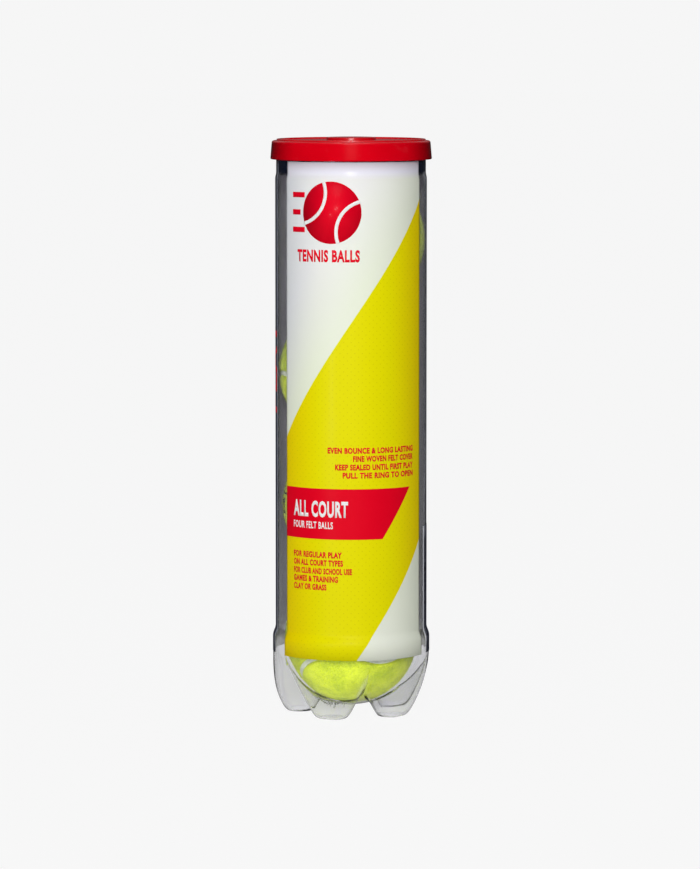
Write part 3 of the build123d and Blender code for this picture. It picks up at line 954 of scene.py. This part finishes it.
def buildCapPlastic():
    material, tree, shader = newMaterial("capPlastic")
    vector = objectCoords(tree)
    scratches, smudges = handlingWear(tree, vector, 260.0, 30.0)
    clouds = noiseOf(tree, vector, 45, 2.0)
    colour = mixed(tree, clouds, (0.60, 0.0, 0.006, 1), (0.70, 0.001, 0.010, 1))
    colour = mixed(tree, times(tree, scratches, 0.06), colour, (0.70, 0.08, 0.09, 1))
    # painted shade: the skirt's red is painted near black where it turns away from view
    height = partsOf(tree, vector)[2]
    skirt = mapped(tree, height, (cap["top"] - 0.3) * mm, (cap["top"] - 1.2) * mm)
    turned = times(tree, mapped(tree, facingOf(tree), 0.3, 0.85, 0.0, 0.85), skirt)
    orangePeel = noiseOf(tree, vector, 420, 2.0)
    relief = plus(tree, orangePeel, times(tree, scratches, -0.5))
    setAll(tree, shader, {
        "Base Color": mixed(tree, turned, colour, (0.06, 0.0, 0.002, 1)),
        "Roughness": mapped(tree, smudges, 0, 1, 0.2, 0.28),
        "Specular IOR Level": mapped(tree, skirt, 0, 1, 0.35, 0.01),
        "Subsurface Weight": 0.06,
        "Subsurface Scale": 0.8 * mm,
        "Normal": bumpOf(tree, relief, 0.18, 0.06 * mm),
    })
    return material


overcapShell = buildOvercap()
overcapShell.data.materials.append(buildCapPlastic())
ridesOn(overcapShell, "overcap", "cap_plastic", "overcap")
print("overcap ready")


def buildSheetMetal(name, colour, roughness, isTurned):
    material, tree, shader = newMaterial(name)
    vector = objectCoords(tree)
    if isTurned:
        # turning marks run round the can's axis
        x, y, z = partsOf(tree, vector)
        squares = plus(tree, calc(tree, "POWER", x, 2.0), calc(tree, "POWER", y, 2.0))
        lines = addNode(tree, "ShaderNodeCombineXYZ", {0: calc(tree, "SQRT", squares), 1: z}).outputs[0]
    else:
        lines = objectCoords(tree, (1, 0.03, 1))
    grain = noiseOf(tree, lines, 2600, 2.0, 0.7)
    scratches, smudges = handlingWear(tree, vector, 300.0, 60.0)
    wear = plus(tree, smudges, scratches)
    darker = (colour[0] * 0.86, colour[1] * 0.86, colour[2] * 0.85, 1)
    setAll(tree, shader, {
        "Base Color": mixed(tree, smudges, colour, darker),
        "Metallic": 1.0,
        "Roughness": mapped(tree, wear, 0, 2, roughness, roughness + 0.22),
        "Normal": bumpOf(tree, grain, 0.3, 0.02 * mm),
    })
    return material


metal = {
    "seamTop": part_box("seam_ring")[1].z / mm,
    "grooveBottom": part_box("seam_ring")[0].z / mm,
    "seamOuter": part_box("seam_ring")[1].x / mm,
    "sheet": 0.25,
    "seamHeight": 3.0,
    "chuckOuter": 36.2,
    "grooveInner": 34.35,
    "lip": 33.75,
    "panelTop": 276.214,
    "hookInner": 37.05,
    "hookTop": 1.6,
}


def buildSeamRing():
    sheet, top, out = metal["sheet"], metal["seamTop"], metal["seamOuter"]
    bottom, groove = top - metal["seamHeight"], metal["grooveBottom"]
    corners = [
        (metal["lip"], metal["panelTop"], 0.1),
        (metal["lip"], metal["panelTop"] - sheet, 0.05),
        (metal["grooveInner"] - sheet, metal["panelTop"] - sheet, 0.05),
        (metal["grooveInner"] - sheet, groove, 0.3),
        (metal["chuckOuter"], groove, 0.3),
        (metal["chuckOuter"], top - sheet, 0.1),
        (out - sheet, top - sheet, 0.15),
        (out - sheet, bottom + sheet, 0.1),
        (metal["hookInner"] + sheet, bottom + sheet, 0.1),
        (metal["hookInner"] + sheet, bottom + metal["hookTop"], 0.08),
        (metal["hookInner"], bottom + metal["hookTop"], 0.08),
        (metal["hookInner"], bottom, 0.25),
        (out, bottom, 0.3),
        (out, top, 0.45),
        (metal["chuckOuter"] - sheet, top, 0.45),
        (metal["chuckOuter"] - sheet, groove + sheet, 0.2),
        (metal["grooveInner"], groove + sheet, 0.2),
        (metal["grooveInner"], metal["panelTop"], 0.2),
    ]
    return finishMesh("seamRingRolled", spinOutline(roundedOutline(corners, 4), 192), 40)


endMetal = buildSheetMetal("endMetal", (0.78, 0.78, 0.77, 1), 0.2, True)
tabMetal = buildSheetMetal("tabMetal", (0.74, 0.74, 0.73, 1), 0.24, False)
seamRing = buildSeamRing()
seamRing.data.materials.append(endMetal)
ridesOn(seamRing, "can", "end_metal", "seam_ring")


def buildCompound():
    material, tree, shader = newMaterial("sealingCompound")
    grain = noiseOf(tree, objectCoords(tree), 700, 3.0)
    setAll(tree, shader, {
        "Base Color": mixed(tree, grain, (0.10, 0.10, 0.10, 1), (0.16, 0.16, 0.155, 1)),
        "Roughness": mapped(tree, grain, 0, 1, 0.6, 0.8),
        "Normal": bumpOf(tree, grain, 0.4, 0.05 * mm),
    })
    return material


# the CAD piece keeps its shape and gets its finish
def finishNode(name, material):
    slots = nodes[name].data.materials
    slots.clear()
    slots.append(material)


finishNode("end_panel", endMetal)
finishNode("tab_tongue", tabMetal)
finishNode("pull_tab", tabMetal)
finishNode("seam_gasket", buildCompound())
print("metal end ready")


ball = {
    "radius": 33.0,
    "feltDetail": 6,
    "lump": 0.16,
    "grooveRadius": 31.1,
    "seamHalf": 1.3,
    "seamRoll": 2.2,
    "rollDepth": 0.45,
    "seamSection": (         # distance from the centre, and to either side
        (30.9, -1.36), (31.85, -1.32), (32.12, -0.75), (32.2, 0.0),
        (32.12, 0.75), (31.85, 1.32), (30.9, 1.36),
    ),
    "lumps": ((9, 1), (24, 0.5), (60, 0.35)),
    "markLift": 0.1,
    "markSink": 0.05,
    "fibres": 0.65,          # fibres per square millimetre
    "fibreLength": 1.5,
    "fibreWidth": 0.035,
    "fibreSizes": (0.35, 1.0),
    "fibreLeans": (35, 82),
    "frames": (              # each ball's own x and z directions in the can
        ((-0.100, -0.580, -0.807), (-0.886, -0.319, 0.337)),
        ((0.240, -0.970, 0.000), (-0.970, -0.240, 0.000)),
        ((-0.667, -0.226, -0.710), (-0.668, -0.226, 0.699)),
        ((0.800, 0.500, 0.330), (-0.560, 0.830, 0.100)),
    ),
}


# millimetres from the middle of the seam, at this direction from the ball's centre
def seamDistance(direction):
    lead = abs(direction.x) if direction.z > 0 else abs(direction.y)
    return abs(math.acos(min(lead, 1)) - math.pi / 4) * ball["radius"]


def feltHeight(direction):
    lumps = sum(share * noise.noise(direction * scale) for scale, share in ball["lumps"])
    gap = seamDistance(direction)
    roll = 1 - smoothStep(ball["seamHalf"], ball["seamHalf"] + ball["seamRoll"], gap)
    flat = ball["radius"] + ball["lump"] * lumps - ball["rollDepth"] * roll ** 2
    inside = smoothStep(ball["seamHalf"] - 0.5, ball["seamHalf"] + 0.3, gap)
    return ball["grooveRadius"] + (flat - ball["grooveRadius"]) * inside


def buildFelt():
    bm = bmesh.new()
    bmesh.ops.create_icosphere(bm, subdivisions=ball["feltDetail"] + 1, radius=1)
    for vert in bm.verts:
        direction = vert.co.normalized()
        vert.co = direction * feltHeight(direction) * mm
    return finishMesh("feltPattern", bm, 180)


def buildSeam():
    bm = bmesh.new()
    for azimuth, axis in ((45, "X"), (135, "X"), (45, "Y"), (-45, "Y")):
        ring = []
        for r, sideways in ball["seamSection"]:
            turn = math.radians(azimuth) + sideways / ball["radius"]
            ring.append(bm.verts.new(Vector((r * math.cos(turn), r * math.sin(turn), 0)) * mm))
        loop = [bm.edges.new(pair) for pair in zip(ring, ring[1:] + ring[:1])]
        spinAxis = (1, 0, 0) if axis == "X" else (0, 1, 0)
        spun(bm, ring + loop, (0, 0, 0), spinAxis, math.pi, 64)
    bmesh.ops.remove_doubles(bm, verts=bm.verts, dist=0.01 * mm)
    for vert in bm.verts:
        direction = vert.co.normalized()
        vert.co += direction * 0.08 * mm * noise.noise(direction * 45)
    return finishMesh("seamPattern", bm, 50)


def buildFibre():
    bm = bmesh.new()
    length = ball["fibreLength"] * mm
    bmesh.ops.create_cone(bm, cap_ends=False, segments=3, radius1=ball["fibreWidth"] * mm,
                          radius2=0.3 * ball["fibreWidth"] * mm, depth=length,
                          matrix=Matrix.Translation((0, 0, length / 2)))
    upright = [edge for edge in bm.edges if abs(edge.verts[0].co.z - edge.verts[1].co.z) > length / 2]
    bmesh.ops.subdivide_edges(bm, edges=upright, cuts=2, use_grid_fill=True)
    for vert in bm.verts:
        share = vert.co.z / length
        vert.co.x += 0.28 * length * share * share
    return finishMesh("feltFibre", bm, 180, recalc=False)


# fibres stand on the felt in every direction, most of them lying nearly flat
def buildFuzz(felt, fibre):
    tree = bpy.data.node_groups.new("fuzzMaker", "GeometryNodeTree")
    tree.interface.new_socket("Geometry", in_out="INPUT", socket_type="NodeSocketGeometry")
    tree.interface.new_socket("Geometry", in_out="OUTPUT", socket_type="NodeSocketGeometry")
    start = addNode(tree, "NodeGroupInput")
    scatter = addNode(tree, "GeometryNodeDistributePointsOnFaces",
                      {"Mesh": start.outputs[0], "Density": ball["fibres"] / mm ** 2, "Seed": 7})
    source = addNode(tree, "GeometryNodeObjectInfo")
    source.inputs["Object"].default_value = fibre
    lean = addNode(tree, "FunctionNodeRandomValue", data_type="FLOAT_VECTOR")
    leastLean, mostLean = (math.radians(angle) for angle in ball["fibreLeans"])
    lean.inputs[0].default_value = (leastLean, 0, 0)
    lean.inputs[1].default_value = (mostLean, 0, math.tau)
    lean.inputs["Seed"].default_value = 3
    turnNode = addNode(tree, "FunctionNodeEulerToRotation", {0: lean.outputs[0]})
    turned = addNode(tree, "FunctionNodeRotateRotation", rotation_space="LOCAL")
    tree.links.new(scatter.outputs["Rotation"], turned.inputs[0])
    tree.links.new(turnNode.outputs[0], turned.inputs[1])
    size = addNode(tree, "FunctionNodeRandomValue", data_type="FLOAT")
    size.inputs[2].default_value, size.inputs[3].default_value = ball["fibreSizes"]
    size.inputs["Seed"].default_value = 11
    placed = addNode(tree, "GeometryNodeInstanceOnPoints")
    for key, socket in (("Points", scatter.outputs["Points"]), ("Instance", source.outputs["Geometry"]),
                        ("Rotation", turned.outputs[0]), ("Scale", size.outputs[1])):
        tree.links.new(socket, placed.inputs[key])
    real = addNode(tree, "GeometryNodeRealizeInstances", {0: placed.outputs[0]})
    out = addNode(tree, "NodeGroupOutput")
    tree.links.new(real.outputs[0], out.inputs[0])
    maker = felt.modifiers.new("fuzz", "NODES")
    maker.node_group = tree
    bm = evaluatedMesh(felt)
    felt.modifiers.remove(maker)
    # none grow out of the seam
    bare = [v for v in bm.verts if v.co.length < (ball["radius"] - 0.9) * mm]
    bmesh.ops.delete(bm, geom=bare, context="VERTS")
    return finishMesh("fuzzPattern", bm, 180, recalc=False)


def buildFeltMaterial(name, low, high):
    material, tree, shader = newMaterial(name)
    vector = objectCoords(tree)
    clouds = noiseOf(tree, vector, 70, 3.0, 0.6)
    fleck = noiseOf(tree, vector, 1500, 3.0, 0.7)
    share = plus(tree, times(tree, clouds, 0.45), times(tree, fleck, 0.55))
    setAll(tree, shader, {
        "Base Color": mixed(tree, mapped(tree, share, 0.41, 0.59), low, high),
        "Roughness": mapped(tree, fleck, 0, 1, 0.85, 1.0),
        "Sheen Weight": 0.15,
        "Sheen Roughness": 0.5,
        "Specular IOR Level": 0.15,
        "Normal": bumpOf(tree, fleck, 0.7, 0.25 * mm),
    })
    return material


def buildRubber(name, low, high, scale, roughness):
    material, tree, shader = newMaterial(name)
    vector = objectCoords(tree)
    grain = noiseOf(tree, vector, scale, 4.0, 0.65)
    clouds = noiseOf(tree, vector, scale / 12, 2.0)
    share = mapped(tree, times(tree, grain, clouds), 0.12, 0.4)
    setAll(tree, shader, {
        "Base Color": mixed(tree, share, low, high),
        "Roughness": mapped(tree, grain, 0, 1, roughness, roughness + 0.2),
        "Normal": bumpOf(tree, grain, 0.5, 0.08 * mm),
    })
    return material


def ballPlacement(number):
    lows, highs = zip(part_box(f"ball_{number}_core_lower"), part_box(f"ball_{number}_core_upper"))
    low = [min(c) for c in zip(*lows)]
    high = [max(c) for c in zip(*highs)]
    centre = Vector([(a + b) / 2 for a, b in zip(low, high)])
    xDir, zDir = (Vector(d).normalized() for d in ball["frames"][number - 1])
    yDir = zDir.cross(xDir).normalized()
    xDir = yDir.cross(zDir)
    turn = Matrix((xDir, yDir, zDir)).transposed().to_4x4()
    return Matrix.Translation(centre) @ turn


def placedCopy(name, pattern, placement, material):
    mesh = pattern.data.copy()
    mesh.transform(placement)
    mesh.materials.clear()
    mesh.materials.append(material)
    piece = bpy.data.objects.new(name, mesh)
    bpy.context.scene.collection.objects.link(piece)
    return piece


# the printed mark lies on the felt's own lumps
def buildMark(number, placement, material):
    bm = bmesh.new()
    bm.from_mesh(nodes[f"ball_{number}_print"].data)
    bmesh.ops.remove_doubles(bm, verts=bm.verts, dist=0.001 * mm)
    back = placement.inverted()
    for vert in bm.verts:
        arm = back @ vert.co
        isTop = arm.length > (ball["radius"] + 0.02) * mm
        lifted = feltHeight(arm.normalized()) + (ball["markLift"] if isTop else -ball["markSink"])
        vert.co = placement @ (arm.normalized() * lifted * mm)
    piece = finishMesh(f"ball{number}Mark", bm, 60)
    piece.data.materials.append(material)
    return piece


feltMaterial = buildFeltMaterial("yellowFelt", (0.38, 0.52, 0.003, 1), (0.76, 0.87, 0.03, 1))
fuzzMaterial = buildFeltMaterial("yellowFuzz", (0.66, 0.76, 0.04, 1), (0.86, 0.93, 0.12, 1))
seamMaterial = buildRubber("seamCement", (0.52, 0.56, 0.44, 1), (0.74, 0.78, 0.66, 1), 500, 0.6)
coreMaterial = buildRubber("coreRubber", (0.04, 0.036, 0.032, 1), (0.09, 0.08, 0.07, 1), 300, 0.55)
markMaterial = buildRubber("ballInk", (0.006, 0.010, 0.006, 1), (0.03, 0.04, 0.02, 1), 900, 0.75)

feltPattern = buildFelt()
seamPattern = buildSeam()
fibrePattern = buildFibre()
fuzzPattern = buildFuzz(feltPattern, fibrePattern)
for number in (1, 2, 3, 4):
    body = f"ball_{number}"
    placement = ballPlacement(number)
    felt = placedCopy(f"ball{number}Felt", feltPattern, placement, feltMaterial)
    ridesOn(felt, body, "felt", f"{body}_felt_a", f"{body}_felt_b")
    fuzz = placedCopy(f"ball{number}Fuzz", fuzzPattern, placement, fuzzMaterial)
    ridesOn(fuzz, body, "felt")
    seam = placedCopy(f"ball{number}Seam", seamPattern, placement, seamMaterial)
    ridesOn(seam, body, "seam_cement", f"{body}_seam")
    mark = buildMark(number, placement, markMaterial)
    ridesOn(mark, body, "ball_ink", f"{body}_print")
    finishNode(f"{body}_core_lower", coreMaterial)
    finishNode(f"{body}_core_upper", coreMaterial)
for pattern in (feltPattern, seamPattern, fibrePattern, fuzzPattern):
    bpy.data.objects.remove(pattern)
print("balls ready")
